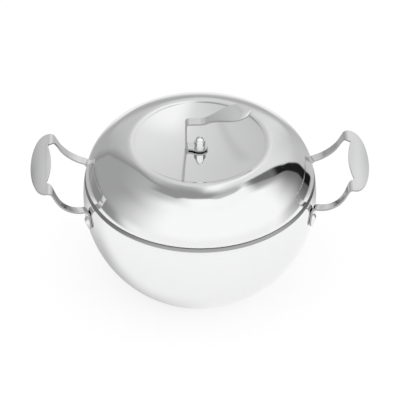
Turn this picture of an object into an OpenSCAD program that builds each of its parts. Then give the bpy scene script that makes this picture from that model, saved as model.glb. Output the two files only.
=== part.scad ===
// Ball-shaped steel cooking pot with a loose domed lid and riveted strap handles.
// The origin is the middle of the base, on the surface that the pot stands on. +Z is up, +X runs
// through the right-hand grip, and -Y is the front.

/* [Body] */
// Outer radius of the ball-shaped body
ball_r = 123.5; // [102:0.1:150]
// Thickness of the body's sheet
body_wall = 1.2; // [0.8:0.1:1.8]
// Radius at which the ball would meet the flat underside
foot_r = 71; // [58:0.5:86]
// Rounding between the underside and the ball
foot_round = 9; // [6:0.5:12]
// Height of the rim above the widest part of the ball
rim_rise = 22; // [18:0.1:27]
// Radius that turns the wall in below the rim
turn_r = 3.5; // [3:0.5:6]
// Radius that turns the rim down into the mouth
lip_r = 2.2; // [2:0.1:3]
// Straight depth of the turned-down lip
lip_drop = 4; // [3:0.5:6]

/* [Base] */
// Thickness of the aluminium disc under the body
core_t = 3.9; // [3:0.1:6]
// Thickness of the steel cap around the disc
cap_wall = 0.6; // [0.4:0.1:1]
// Distance from the cap's edge to the rounding of the underside
cap_margin = 2.2; // [1:0.1:6]
// Rounding of the cap's lower edge
cap_round = 2.5; // [1.5:0.1:3]

/* [Lid] */
// Thickness of the lid's sheet
lid_wall = 0.9; // [0.7:0.1:1.2]
// How far the lid's edge stands out past the mouth
lid_overhang = 4.2; // [3.4:0.1:5.2]
// Gap between the lid and the rim that it rests on
seat_gap = 0.3; // [0.2:0.05:0.5]
// Outer radius of the folded edge
hem_r = 1.8; // [1.6:0.1:2.4]
// How far the folded edge reaches inwards past the crown of the rim
hem_reach = 1.2; // [0.6:0.1:1.8]
// Radius of the lid's round shoulder
dome_r = 47.4; // [42:0.1:53]
// Slope from the vertical at which the shoulder meets the folded edge, in degrees
shoulder_flare = 6; // [3:0.5:9]
// Slope at which the shoulder runs into the band around the crest, in degrees
band_slope = 24.5; // [20:0.5:27]
// Slope of that band where it meets the crest, in degrees
band_top_slope = 16.5; // [11:0.5:18]
// Distance from the lid's edge to the middle of the crest
crest_in = 47.5; // [44:0.1:58]
// Radius of the broad, rounded crest
crest_round = 12; // [10:0.5:16]
// Slope of the crest's inner side, in degrees
crest_slope = 20; // [17:0.5:24]
// Straight drop of the crest's inner side
crest_drop = 0.3; // [0.1:0.1:1]
// Radius of the hollow between the crest and the dish
hollow_round = 8; // [6:0.5:12]
// Slope of the hollow dish at its edge, in degrees
dish_slope = 14.5; // [8:0.1:16]
// Radius of the flat at the middle of the dish
flat_r = 9; // [8.5:0.5:12]
// Gap between the collar and the mouth
collar_gap = 0.8; // [0.4:0.1:1.5]
// Thickness of the collar's sheet
collar_wall = 0.8; // [0.6:0.1:1]
// Depth of the collar below the rim
collar_drop = 9; // [6:0.5:14]

/* [Lid handle] */
// Thickness of the strap
strap_t = 2; // [1.6:0.1:2.4]
// Width of the strap
lid_strap_w = 10.6; // [9:0.1:14]
// Radius of the round foot under the nut
pad_r = 8.5; // [7:0.1:9]
// Distance from the nut to the riser
riser_x = 14.4; // [13:0.1:18]
// Height of the riser from the foot to the top run
riser_h = 32.6; // [28:0.1:42]
// Radius of the strap's two right-angled bends
bend_r = 3.4; // [2.6:0.1:5]
// Length of the level run before the paddle
level_l = 11; // [6:0.5:16]
// Length over which the paddle kicks up
paddle_kick_l = 8; // [5:0.5:12]
// Length of the paddle along its curve
paddle_l = 49; // [42:0.5:60]
// Steepest slope of the paddle, in degrees
paddle_slope = 26; // [15:1:30]
// Largest width of the paddle
paddle_w = 28; // [22:0.5:32]
// Share of the paddle's length at which it is widest
paddle_wide = 0.62; // [0.5:0.01:0.75]
// Height of the paddle's rounded back
paddle_crown = 1.2; // [0:0.1:2.5]

/* [Side handles] */
// Width of the strap where it leaves the wall
arm_w = 9.4; // [7.5:0.1:11]
// Distance of each rivet from the handle's middle line
rivet_y = 39.5; // [33:0.1:46]
// Drop from the widest part of the ball to the rivets
rivet_drop = 4; // [1:0.5:8]
// Radius of each foot around its rivet
tab_r = 9; // [7:0.1:10]
// Height from the rivet to the start of the foot's bend
tab_run = 9.5; // [9:0.5:13]
// Radius of the bend between the foot and the arm
tab_bend_r = 6; // [4:0.5:8]
// Slope of the arm where it leaves the foot, in degrees
arm_pitch = 4; // [0:1:12]
// Radius of the arm's upward curve
arm_curve_r = 33; // [27:0.5:40]
// Steepest slope of the arm, in degrees
arm_slope = 63; // [50:1:72]
// Angle by which the arm turns back towards the handle's middle line
arm_close = 1; // [0:1:8]
// Length of the arm's straight, steepest part
arm_straight = 9.6; // [5:0.1:12]
// Radius of the bend between the arm and the grip
fold_r = 5; // [3.5:0.5:8]
// Reach of the strap towards the handle's middle line at that bend
leg_in = 13; // [9:0.1:14]
// Reach of the strap away from the handle's middle line at that bend
leg_out = 4.7; // [3.5:0.1:7]
// Fall of the grip from the bend to its outer edge, in degrees
grip_tilt = 12; // [0:1:25]
// Width of the grip from the bend to its outer edge
grip_out = 18.8; // [15:0.1:24]
// Power that shapes the grip's outer edge. At 1 it is half of an ellipse, and less makes it squarer
grip_power = 0.86; // [0.78:0.01:1]
// Depth of the hollow corner between the bend and the grip's inner edge
notch_out = 1.6; // [0:0.1:3]
// Bulge of the grip's inner edge towards the wall, from that corner
grip_in = 4.8; // [1:0.1:7]
// Height of the grip's rounded back
grip_crown = 1.5; // [0:0.1:3]

/* [Fasteners] */
// Radius of the rivets' shanks
rivet_r = 2.4; // [2:0.1:3]
// Radius of the rivets' domed heads
rivet_head_r = 5.2; // [4:0.1:6]
// Height of the rivets' domed heads
rivet_head_h = 3; // [2:0.1:4]
// Radius of the rivets' flat heads inside the body
rivet_tail_r = 4.4; // [3.6:0.1:5.2]
// Thickness of the rivets' flat heads
rivet_tail_h = 1.1; // [0.8:0.1:1.6]
// Radius of the screw through the lid
screw_r = 3; // [2.5:0.1:3.2]
// Radius of the screw's head
screw_head_r = 5.5; // [4.5:0.1:6.5]
// Height of the screw's head
screw_head_h = 3.2; // [2.5:0.1:4]
// Radius of the washers under the lid
washer_r = 8.2; // [6.8:0.1:8.4]
// Thickness of each washer on the screw
washer_t = 1.2; // [0.8:0.1:1.6]
// Radius of the lock washer and the foot's gasket
lock_r = 5.4; // [4.6:0.1:6.5]
// Gap around a shank in its hole
hole_gap = 0.1; // [0.05:0.05:0.25]
// Width of the cap nut across its flats
nut_flats = 10; // [9:0.1:12]
// Height of the cap nut's six-sided part
nut_h = 6; // [5:0.1:8]
// Radius of the cap nut's dome
nut_dome_r = 4.2; // [3.8:0.1:4.4]
// Height of the whole cap nut
nut_total_h = 11; // [10:0.1:14]

/* [Hidden] */
$fn = 96;

// Steps of the outlines' arcs, in degrees
ball_step = 4;
dome_step = 3.5;
band_step = 2;
dish_step = 1;
turn_step = 7;
edge_step = 15;

// Depth by which the joined shapes of one piece reach into each other
fuse = 1;

// Heights above the surface that the pot stands on
base_h = cap_wall + core_t;
ball_z = base_h + sqrt(pow(ball_r, 2) - pow(foot_r, 2));
rim_z = ball_z + rim_rise;
seat_z = rim_z + seat_gap;
rivet_z = ball_z - rivet_drop;

// Section of the body: the rounding at its foot and the turns below and above the rim
foot_mid = [sqrt(pow(ball_r - foot_round, 2) - pow(ball_z - base_h - foot_round, 2)),
            base_h + foot_round];
foot_end = atan2(foot_mid.y - ball_z, foot_mid.x);
turn_start = asin((rim_rise - turn_r) / (ball_r - turn_r));
turn_mid = [(ball_r - turn_r) * cos(turn_start), rim_z - turn_r];
lip_mid = [turn_mid.x, rim_z - lip_r];
mouth_r = lip_mid.x - lip_r;
cap_r = foot_mid.x - cap_margin;

// Section of the lid, from its edge to its middle
lid_r = mouth_r + lid_overhang;
hem_mid = [lid_r - hem_r, seat_z + hem_r];
dome_mid = hem_mid - (dome_r - hem_r) * unit(shoulder_flare);
band_end = 90 - band_slope;
band_top = 90 - band_top_slope;
crest_x = lid_r - crest_in;
band_w = dome_mid.x + dome_r * cos(band_end) - crest_round * cos(band_top) - crest_x;
band_r = band_w / (cos(band_end) - cos(band_top));
band_mid = dome_mid + (dome_r - band_r) * unit(band_end);
crest_mid = band_mid + (band_r - crest_round) * unit(band_top);
crest_end = 90 + crest_slope;
crest_foot = crest_mid + crest_round * unit(crest_end) - crest_drop * [1 / tan(crest_slope), 1];
hollow_mid = crest_foot + hollow_round * unit(crest_end);
dish_end = 90 + dish_slope;
dish_r = hollow_round + hollow_mid.x / sin(dish_slope);
dish_mid = [0, hollow_mid.y + (dish_r - hollow_round) * sin(dish_end)];
flat_end = 90 + asin(flat_r / dish_r);
dish_z = dish_mid.y - dish_r * sin(flat_end);
collar_r = mouth_r - collar_gap;

// Rounding of the corner between the collar and its flange
collar_round = 1;

// Heights of the pieces on the lid's screw
pad_z = dish_z + washer_t;
lock_z = pad_z + strap_t;
nut_z = lock_z + washer_t;
seal_z = dish_z - lid_wall - washer_t;
under_z = seal_z - washer_t;

function unit(angle) = [cos(angle), sin(angle)];
function reversed(list) = [for (i = [len(list) - 1:-1:0]) list[i]];
function smooth(x) = let (k = min(1, max(0, x))) k * k * (3 - 2 * k);

// Points of an arc after its first one, from angle a to angle b. A negative radius gives a hollow one
function arc(mid, r, a, b, step = turn_step) =
    let (n = ceil(abs(b - a) / step))
    [for (i = [1:n]) mid + r * unit(a + (b - a) * i / n)];

// A line of points moved by t to the right of its run
function beside(path, t) =
    [for (i = [0:len(path) - 1])
        let (last = len(path) - 1,
             a = path[max(i, 1)] - path[max(i, 1) - 1],
             b = path[min(i + 1, last)] - path[min(i + 1, last) - 1],
             mitre = a / norm(a) + b / norm(b))
        path[i] + 2 * t / pow(norm(mitre), 2) * [mitre.y, -mitre.x]];

// Round shell whose section is a sheet of thickness t, with its skin along a line of points
module spun_sheet(path, t) {
    rotate_extrude() polygon(concat(path, reversed(beside(path, t))));
}

// Flat ring
module ring(outer, inner, h) {
    difference() {
        cylinder(r = outer, h = h);
        translate([0, 0, -h]) cylinder(r = inner, h = 3 * h);
    }
}

// Domed head on the XY plane
module domed_head(r, h) {
    ball = (r * r + h * h) / (2 * h);
    crown = arc([0, h - ball], ball, asin((ball - h) / ball), 90);
    rotate_extrude() polygon(concat([[0, 0], [r, 0]], crown));
}

// A place on a strap's middle line is [point, heading, direction of its upper face]. Its heading
// rises by pitch and points to az, seen from above
function place(point, pitch, az) =
    [point,
     [cos(pitch) * cos(az), cos(pitch) * sin(az), sin(pitch)],
     [-sin(pitch) * cos(az), -sin(pitch) * sin(az), cos(pitch)]];
function across(f) = cross(f[1], f[2]);
function last(list) = list[len(list) - 1];

// Places along one run of a strap, after its start. The run is l long, and its pitch and azimuth
// go evenly from their first value to their second
function run(f, l, pitch, az, n, i = 0) =
    i == n ? [] :
    let (half = place(f[0], between(pitch, (i + 0.5) / n), between(az, (i + 0.5) / n)),
         next = place(f[0] + half[1] * l / n, between(pitch, (i + 1) / n), between(az, (i + 1) / n)))
    concat([next], run(next, l, pitch, az, n, i + 1));
function between(pair, k) = pair[0] + (pair[1] - pair[0]) * k;
function turned(r, pitch) = r * abs(pitch[1] - pitch[0]) * PI / 180;

// Corners of a strap's section, from one edge of its sheet to the other. Its back is raised by crown
section_steps = [0, 0.2, 0.5, 0.8, 1];
function sheet_section(low, high, up, crown) =
    let (edge = [for (s = section_steps) low + (high - low) * s + up * crown * 4 * s * (1 - s)])
    concat([for (p = edge) p + up * strap_t / 2], [for (p = reversed(edge)) p - up * strap_t / 2]);
function section(f, low, high, crown = 0) =
    sheet_section(f[0] + across(f) * low, f[0] + across(f) * high, f[2], crown);

// Sections of a round foot at the start of a strap, up to the middle of its hole. The first one
// is pad_start_a short of the foot's outermost point, so that the foot ends in a small flat
pad_start_a = 20;
pad_step = 14;
function pad_sections(f, r) =
    [for (a = [pad_start_a:pad_step:90])
        section([f[0] - r * cos(a) * f[1], f[1], f[2]], -r * sin(a), r * sin(a))];

// Solid strap through a list of sections
module strap(sections) {
    n = len(sections[0]);
    faces = [for (i = [0:len(sections) - 2], j = [0:n - 1])
        let (a = i * n + j, b = i * n + (j + 1) % n)
        each [[a, b, b + n], [a, b + n, a + n]]];
    end = [for (j = [0:n / 2 - 2])
        each [[j, j + 1, n - 2 - j], [j, n - 2 - j, n - 1 - j]]];
    last_end = [for (face = end) face + [1, 1, 1] * n * (len(sections) - 1)];
    first_end = [for (face = end) reversed(face)];
    polyhedron([for (s = sections) each s], concat(first_end, faces, last_end));
}

// Number of sections along each run of a side handle, from its foot to its grip
foot_n = 5;
root_n = 8;
arm_n = 12;
leg_n = 3;
fold_n = 7;
grip_n = 14;

// The rear half of the right-hand handle, from its foot to the bend at its grip
rivet_az = asin(rivet_y / ball_r);
wall_out = [cos(rivet_az), sin(rivet_az), 0];
foot_start = place((ball_r + strap_t / 2) * wall_out + [0, 0, rivet_z], 90, rivet_az);
foot_places = run(foot_start, tab_run, [90, 90], [rivet_az, rivet_az], foot_n);
foot_turn = [90, arm_pitch];
root_places = run(last(foot_places), turned(tab_bend_r, foot_turn), foot_turn,
                  [rivet_az, rivet_az], root_n);
arm_bend = [arm_pitch, arm_slope];
arm_places = run(last(root_places), turned(arm_curve_r, arm_bend), arm_bend,
                 [rivet_az, -arm_close], arm_n);
leg_places = run(last(arm_places), arm_straight, [arm_slope, arm_slope], [-arm_close, 0], leg_n);
fold_turn = [arm_slope, -grip_tilt];
fold_places = run(last(leg_places), turned(fold_r, fold_turn), fold_turn, [0, 0], fold_n);
wide_places = concat(leg_places, fold_places);

// The grip, in its own plane from the middle of the bend
fold_end = last(fold_places);
grip_up = fold_end[2];
grip_edge = fold_end[0].y + leg_out;
grip_notch = fold_end[0].y - leg_in;
function grip_point(p, q) = [fold_end[0].x, q, fold_end[0].z] + p * fold_end[1];

// Turn along the grip's outer edge, in degrees, at which the inner edge leaves its hollow corner
notch_end = 20;
function grip_section(a) =
    let (p = notch_out * smooth(a / notch_end) - grip_in * (1 - pow(cos(a), 4)))
    sheet_section(grip_point(grip_out * pow(sin(a), grip_power), grip_edge * cos(a)),
                  grip_point(p, grip_notch * pow(cos(a), 2)),
                  grip_up, grip_crown * smooth(a / 90));

function mix(a, b, k) = a + (b - a) * smooth(k);
handle_half = concat(
    pad_sections(foot_start, tab_r),
    [for (i = [1:len(foot_places)])
        let (w = mix(tab_r, arm_w / 2, i / len(foot_places)))
        section(foot_places[i - 1], -w, w)],
    [for (f = concat(root_places, arm_places)) section(f, -arm_w / 2, arm_w / 2)],
    [for (i = [1:len(wide_places)])
        let (k = i / len(wide_places))
        section(wide_places[i - 1], -mix(arm_w / 2, leg_out, k), mix(arm_w / 2, leg_in, k))],
    [for (i = [1:grip_n]) grip_section(90 * i / grip_n)]);

// The same sections on the other side of the handle's middle line
function other_half(half) =
    [for (i = [len(half) - 2:-1:0]) [for (p = half[i]) [p.x, -p.y, p.z]]];
function closed_middle(half) =
    [for (i = [0:len(half) - 1]) [for (p = half[i]) [p.x, i == len(half) - 1 ? 0 : p.y, p.z]]];

module side_handle() {
    color("silver") difference() {
        strap(concat(closed_middle(handle_half), other_half(handle_half)));
        rivet_holes();
    }
}

// Puts its children on the right-hand wall where the rear rivet or the front one goes through
module at_rivet(side) {
    rotate(side * rivet_az) translate([0, 0, rivet_z]) rotate([0, 90, 0]) children();
}

module rivet_holes() {
    hole_start = ball_r - 3 * body_wall;
    for (side = [-1, 1])
        at_rivet(side)
            translate([0, 0, hole_start])
                cylinder(r = rivet_r + hole_gap, h = ball_r + 2 * strap_t - hole_start);
}

// Rivet along the wall's direction, with its domed head outside and its flat head inside. The flat
// head's lowest edge stays clear of the wall's chords
module rivet(side) {
    inner_r = (ball_r - body_wall) * cos(ball_step / 2);
    tail_z = sqrt(pow(inner_r, 2) - pow(rivet_tail_r + rivet_drop, 2)) - hole_gap;
    color("gainsboro") at_rivet(side) {
        translate([0, 0, tail_z - rivet_tail_h]) cylinder(r = rivet_tail_r, h = rivet_tail_h);
        translate([0, 0, tail_z - rivet_tail_h / 2])
            cylinder(r = rivet_r, h = ball_r + strap_t - tail_z + rivet_tail_h);
        translate([0, 0, ball_r + strap_t]) domed_head(rivet_head_r, rivet_head_h);
    }
}

module pot_body() {
    skin = concat([[0, base_h], foot_mid - [0, foot_round]],
                  arc(foot_mid, foot_round, -90, foot_end),
                  arc([0, ball_z], ball_r, foot_end, turn_start, ball_step),
                  arc(turn_mid, turn_r, turn_start, 90),
                  arc(lip_mid, lip_r, 90, 180, edge_step),
                  [[mouth_r, lip_mid.y - lip_drop]]);
    color("silver") difference() {
        spun_sheet(skin, -body_wall);
        rivet_holes();
        mirror([1, 0, 0]) rivet_holes();
    }
}

// Outline of the base's cap, from its middle to its upper edge
cap_skin = concat([[0, 0], [cap_r - cap_round, 0]],
                  arc([cap_r - cap_round, cap_round], cap_round, -90, 0, edge_step),
                  [[cap_r, base_h]]);

module base_cap() {
    color("gray") spun_sheet(cap_skin, -cap_wall);
}

module base_core() {
    color("lightgray") rotate_extrude() polygon(concat(beside(cap_skin, -cap_wall), [[0, base_h]]));
}

module lid_skin() {
    skin = concat([[0, dish_z], [flat_r, dish_z]],
                  arc(dish_mid, -dish_r, flat_end, dish_end, dish_step),
                  arc(hollow_mid, -hollow_round, dish_end, crest_end),
                  [crest_mid + crest_round * unit(crest_end)],
                  arc(crest_mid, crest_round, crest_end, band_top),
                  arc(band_mid, band_r, band_top, band_end, band_step),
                  arc(dome_mid, dome_r, band_end, shoulder_flare, dome_step),
                  arc(hem_mid, hem_r, shoulder_flare, -90, edge_step),
                  [[lip_mid.x - hem_reach, seat_z]]);
    color("silver") difference() {
        spun_sheet(skin, lid_wall);
        translate([0, 0, under_z]) cylinder(r = screw_r + hole_gap, h = nut_z - under_z);
    }
}

module lid_collar() {
    flange_z = seat_z + lid_wall;
    skin = concat([[hem_mid.x, flange_z], [collar_r + collar_round, flange_z]],
                  arc([collar_r + collar_round, flange_z - collar_round], collar_round, 90, 180, edge_step),
                  [[collar_r, rim_z - collar_drop]]);
    color("gainsboro") spun_sheet(skin, collar_wall);
}

// The paddle's sections stop just short of its pointed end, and tip_power rounds them towards it
tip_cut = 0.985;
tip_power = 0.8;

// Half-width of the paddle at a share of its length. It is widest at paddle_wide and round at its tip
function paddle_half(g) =
    g < paddle_wide ? mix(lid_strap_w, paddle_w, g / paddle_wide) / 2
    : paddle_w / 2 * pow(1 - pow((g - paddle_wide) / (1 - paddle_wide), 2), tip_power);

// The lid's handle, from its foot under the nut to the tip of its paddle. Its upper face is the
// foot's, so it faces down along the paddle
pad_n = 5;
bend_n = 7;
kick_n = 4;
paddle_n = 18;
pad_start = place([0, 0, pad_z + strap_t / 2], 0, 180);
pad_places = strap_run(pad_start, riser_x - bend_r, 0, 0, pad_n);
low_bend = strap_run(last(pad_places), turned(bend_r, [0, 90]), 0, 90, bend_n);
riser = strap_run(last(low_bend), riser_h - 2 * bend_r, 90, 90, 1);
high_bend = strap_run(last(riser), turned(bend_r, [90, 180]), 90, 180, bend_n);
level = strap_run(last(high_bend), level_l, 180, 180, 1);
kick = strap_run(last(level), paddle_kick_l, 180, 180 - paddle_slope, kick_n);
paddle_places = strap_run(last(kick), paddle_l * tip_cut, 180 - paddle_slope, 180, paddle_n);
function strap_run(f, l, pitch_a, pitch_b, n) = run(f, l, [pitch_a, pitch_b], [180, 180], n);
lid_handle_sections = concat(
    pad_sections(pad_start, pad_r),
    [for (i = [1:len(pad_places)])
        let (w = mix(pad_r, lid_strap_w / 2, i / len(pad_places)))
        section(pad_places[i - 1], -w, w)],
    [for (f = concat(low_bend, riser, high_bend, level, kick))
        section(f, -lid_strap_w / 2, lid_strap_w / 2)],
    [for (i = [1:paddle_n])
        let (w = paddle_half(i / paddle_n * tip_cut))
        section(paddle_places[i - 1], -w, w, -paddle_crown * smooth(i / paddle_n))]);

module lid_handle() {
    color("silver") difference() {
        strap(lid_handle_sections);
        translate([0, 0, pad_z - strap_t]) cylinder(r = screw_r + hole_gap, h = 3 * strap_t);
    }
}

module foot_gasket() {
    color("dimgray") translate([0, 0, dish_z]) ring(lock_r, screw_r + hole_gap, washer_t);
}

module lid_seal() {
    color("dimgray") translate([0, 0, seal_z]) ring(washer_r, screw_r + hole_gap, washer_t);
}

module lid_washer() {
    color("gainsboro") translate([0, 0, under_z]) ring(washer_r, screw_r + hole_gap, washer_t);
}

module lock_washer() {
    color("gainsboro") translate([0, 0, lock_z]) ring(lock_r, screw_r + hole_gap, washer_t);
}

module lid_screw() {
    color("gainsboro") {
        translate([0, 0, under_z]) mirror([0, 0, 1]) domed_head(screw_head_r, screw_head_h);
        translate([0, 0, under_z - fuse]) cylinder(r = screw_r, h = nut_z + nut_h - under_z);
    }
}

module cap_nut() {
    color("white") translate([0, 0, nut_z]) difference() {
        union() {
            cylinder(d = nut_flats / cos(30), h = nut_h, $fn = 6);
            translate([0, 0, nut_h - fuse])
                cylinder(r = nut_dome_r, h = nut_total_h - nut_dome_r - nut_h + fuse);
            translate([0, 0, nut_total_h - nut_dome_r]) sphere(r = nut_dome_r);
        }
        translate([0, 0, -fuse]) cylinder(r = screw_r + hole_gap, h = nut_h + fuse);
    }
}

pot_body();
base_core();
base_cap();
mirror([1, 0, 0]) side_handle();  // left_handle
side_handle();  // right_handle
mirror([1, 0, 0]) rivet(-1);  // left_front_rivet
mirror([1, 0, 0]) rivet(1);  // left_rear_rivet
rivet(-1);  // right_front_rivet
rivet(1);  // right_rear_rivet
lid_skin();
lid_collar();
lid_handle();
foot_gasket();
lid_seal();
lid_washer();
lid_screw();
lock_washer();
cap_nut();
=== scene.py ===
import math

import bmesh
import bpy
from bpy.props import FloatProperty, FloatVectorProperty, IntProperty, PointerProperty
from mathutils import Matrix, Vector


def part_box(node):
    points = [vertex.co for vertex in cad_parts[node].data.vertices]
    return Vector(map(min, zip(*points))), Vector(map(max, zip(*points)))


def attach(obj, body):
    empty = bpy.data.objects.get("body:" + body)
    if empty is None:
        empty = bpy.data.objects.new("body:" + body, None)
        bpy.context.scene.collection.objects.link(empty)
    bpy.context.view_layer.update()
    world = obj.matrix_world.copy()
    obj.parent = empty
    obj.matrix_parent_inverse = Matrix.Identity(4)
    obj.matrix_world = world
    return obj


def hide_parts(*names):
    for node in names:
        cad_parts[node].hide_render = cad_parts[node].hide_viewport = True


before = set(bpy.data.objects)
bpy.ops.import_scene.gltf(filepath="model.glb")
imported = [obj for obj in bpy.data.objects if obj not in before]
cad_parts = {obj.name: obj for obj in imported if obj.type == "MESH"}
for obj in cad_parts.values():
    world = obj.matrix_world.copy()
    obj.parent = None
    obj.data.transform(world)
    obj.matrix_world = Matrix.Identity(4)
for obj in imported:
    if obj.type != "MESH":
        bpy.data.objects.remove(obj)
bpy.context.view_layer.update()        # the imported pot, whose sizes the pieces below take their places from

bl_info = {
    "name": "Ball-shaped cooking pot",
    "version": (1, 0, 0),
    "blender": (4, 5, 0),
    "location": "View3D > Sidebar > Cooking pot",
    "description": "Polished steel pot with strap handles and a loose domed lid",
    "category": "Add Mesh",
}

MM = 0.001
MERGE = 2e-6             # vertices closer than this are merged
STRAP_EDGE = 0.45 * MM   # rounding of the straps' sheared edges
GRIP_STEPS = 36          # rows from a grip's bend to its middle line
NOTCH_TURN = 20          # degrees of a grip's outline over which its hollow corner forms
GRIP_KEEP = 0.2 * MM     # keeps a grip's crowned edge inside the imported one
PADDLE_TIP = 0.985       # share of the paddle's length at which its last row lies
PADDLE_POWER = 0.8       # shape of the paddle's end, where 0.5 is half of an ellipse
RING_EDGE = 0.25 * MM    # rounding of the washers' and gaskets' edges
POT_LOW, POT_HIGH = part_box("pot_body")
CAP_LOW, CAP_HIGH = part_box("base_cap")
LID_LOW, LID_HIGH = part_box("lid_skin")
COLLAR_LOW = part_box("lid_collar")[0]
BALL_R = (POT_HIGH.y - POT_LOW.y) / 2
RIM_Z = POT_HIGH.z
BASE_H = POT_LOW.z
LID_R = (LID_HIGH.y - LID_LOW.y) / 2
SEAT_Z = LID_LOW.z


def length(name, description, default):
    """A size in metres, with its default given in millimetres."""
    return FloatProperty(name=name, description=description, default=default * MM, min=0, unit="LENGTH",
                         precision=5)


def angle(name, description, default):
    """An angle, with its default given in degrees."""
    return FloatProperty(name=name, description=description, default=math.radians(default), subtype="ANGLE")


def share(name, description, default):
    return FloatProperty(name=name, description=description, default=default, min=0, max=1)


def colour(name, description, default):
    return FloatVectorProperty(name=name, description=description, default=default, size=3, min=0, max=1,
                               subtype="COLOR")


class PotBodySizes(bpy.types.PropertyGroup):
    wall: length("Wall", "Thickness of the body's sheet", 1.2)
    foot_r: length("Foot radius", "Radius at which the ball would meet the flat underside", 71)
    foot_round: length("Foot rounding", "Rounding between the underside and the ball", 9)
    turn_r: length("Turn", "Radius that turns the wall in below the rim", 3.5)
    lip_r: length("Lip", "Radius that turns the rim down into the mouth", 2.2)
    lip_drop: length("Lip drop", "Straight depth of the turned-down lip", 4)
    cap_wall: length("Cap wall", "Thickness of the base's cap", 0.6)
    cap_round: length("Cap rounding", "Rounding of the cap's lower edge", 2.5)
    facet: angle("Facet", "Turn between the corners of the wall's outline in the packed pot", 4)


class LidSizes(bpy.types.PropertyGroup):
    wall: length("Wall", "Thickness of the lid's sheet", 0.9)
    hem_r: length("Hem", "Outer radius of the folded edge", 1.8)
    hem_in: length("Hem reach", "How far the folded edge reaches in past the crown of the rim", 1.2)
    dome_r: length("Shoulder", "Radius of the lid's round shoulder", 47.4)
    flare: angle("Flare", "Slope from the vertical at which the shoulder meets the folded edge", 6)
    band_slope: angle("Band slope", "Slope at which the shoulder runs into the band around the crest", 24.5)
    band_top_slope: angle("Band top slope", "Slope of that band where it meets the crest", 16.5)
    crest_in: length("Crest inset", "Distance from the lid's edge to the middle of the crest", 47.5)
    crest_round: length("Crest rounding", "Radius of the broad, rounded crest", 12)
    crest_slope: angle("Crest slope", "Slope of the crest's inner side", 20)
    crest_drop: length("Crest drop", "Straight drop of the crest's inner side", 0.3)
    hollow_round: length("Hollow", "Radius of the hollow between the crest and the dish", 8)
    dish_slope: angle("Dish slope", "Slope of the hollow dish at its edge", 14.5)
    flat_r: length("Flat", "Radius of the flat at the middle of the dish", 9)
    collar_gap: length("Collar gap", "Gap between the collar and the mouth", 0.8)
    collar_wall: length("Collar wall", "Thickness of the collar's sheet", 0.8)
    collar_round: length("Collar rounding", "Rounding between the collar and its flange", 1)


class LidHandleSizes(bpy.types.PropertyGroup):
    strap: length("Strap", "Thickness of the strap", 2)
    width: length("Width", "Width of the strap", 10.6)
    pad_r: length("Foot", "Radius of the round foot under the nut", 8.5)
    riser_x: length("Riser", "Distance from the nut to the riser", 14.4)
    riser_h: length("Riser height", "Height from the foot to the top run", 32.6)
    bend_r: length("Bends", "Radius of the strap's two right-angled bends", 3.4)
    level: length("Level run", "Length of the level run before the paddle", 11)
    kick: length("Kick", "Length over which the paddle kicks up", 8)
    paddle: length("Paddle", "Length of the paddle along its curve", 49)
    slope: angle("Paddle slope", "Steepest slope of the paddle", 26)
    paddle_w: length("Paddle width", "Largest width of the paddle", 28)
    widest: share("Widest", "Share of the paddle's length at which it is widest", 0.62)
    crown: length("Crown", "Height of the paddle's rounded back", 1.2)


class SideHandleSizes(bpy.types.PropertyGroup):
    strap: length("Strap", "Thickness of the strap", 2)
    arm_w: length("Arm width", "Width of the strap where it leaves the wall", 9.4)
    rivet_y: length("Rivet", "Distance of each rivet from the handle's middle line", 39.5)
    rivet_drop: length("Rivet drop", "Drop from the widest part of the ball to the rivets", 4)
    tab_r: length("Foot", "Radius of each foot around its rivet", 9)
    tab_run: length("Foot run", "Height from the rivet to the start of the foot's bend", 9.5)
    tab_bend_r: length("Foot bend", "Radius of the bend between the foot and the arm", 6)
    arm_pitch: angle("Arm pitch", "Slope of the arm where it leaves the foot", 4)
    arm_curve_r: length("Arm curve", "Radius of the arm's upward curve", 33)
    arm_slope: angle("Arm slope", "Steepest slope of the arm", 63)
    arm_close: angle("Arm close", "Angle by which the arm turns back to the middle line", 1)
    arm_straight: length("Arm straight", "Length of the arm's straight, steepest part", 9.6)
    fold_r: length("Fold", "Radius of the bend between the arm and the grip", 5)
    leg_in: length("Leg inside", "Reach of the strap to the middle line at that bend", 13)
    leg_out: length("Leg outside", "Reach of the strap away from the middle line at that bend", 4.7)
    grip_tilt: angle("Grip tilt", "Fall of the grip from the bend to its outer edge", 12)
    grip_out: length("Grip width", "Width of the grip from the bend to its outer edge", 18.8)
    grip_power: share("Grip power", "Shape of the grip's outer edge. At 1 it is half of an ellipse", 0.86)
    notch_out: length("Notch", "Depth of the hollow corner at the grip's inner edge", 1.6)
    grip_in: length("Grip bulge", "Bulge of the grip's inner edge to the wall", 4.8)
    grip_crown: length("Grip crown", "Height of the grip's rounded back", 1.5)


class FastenerSizes(bpy.types.PropertyGroup):
    rivet_r: length("Rivet", "Radius of the rivets' shanks", 2.4)
    rivet_head_r: length("Rivet head", "Radius of the rivets' domed heads", 5.2)
    rivet_head_h: length("Rivet head height", "Height of the rivets' domed heads", 3)
    rivet_tail_r: length("Rivet tail", "Radius of the rivets' flat heads inside the body", 4.4)
    rivet_tail_h: length("Rivet tail height", "Thickness of the rivets' flat heads", 1.1)
    screw_r: length("Screw", "Radius of the screw through the lid", 3)
    screw_head_r: length("Screw head", "Radius of the screw's head", 5.5)
    screw_head_h: length("Screw head height", "Height of the screw's head", 3.2)
    hole_gap: length("Hole gap", "Gap around a shank in its hole", 0.1)
    nut_flats: length("Nut", "Width of the cap nut across its flats", 10)
    nut_h: length("Nut height", "Height of the cap nut's six-sided part", 6)
    nut_dome_r: length("Nut dome", "Radius of the cap nut's dome", 4.2)
    edge: length("Edge", "Rounding of small edges", 0.35)


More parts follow.
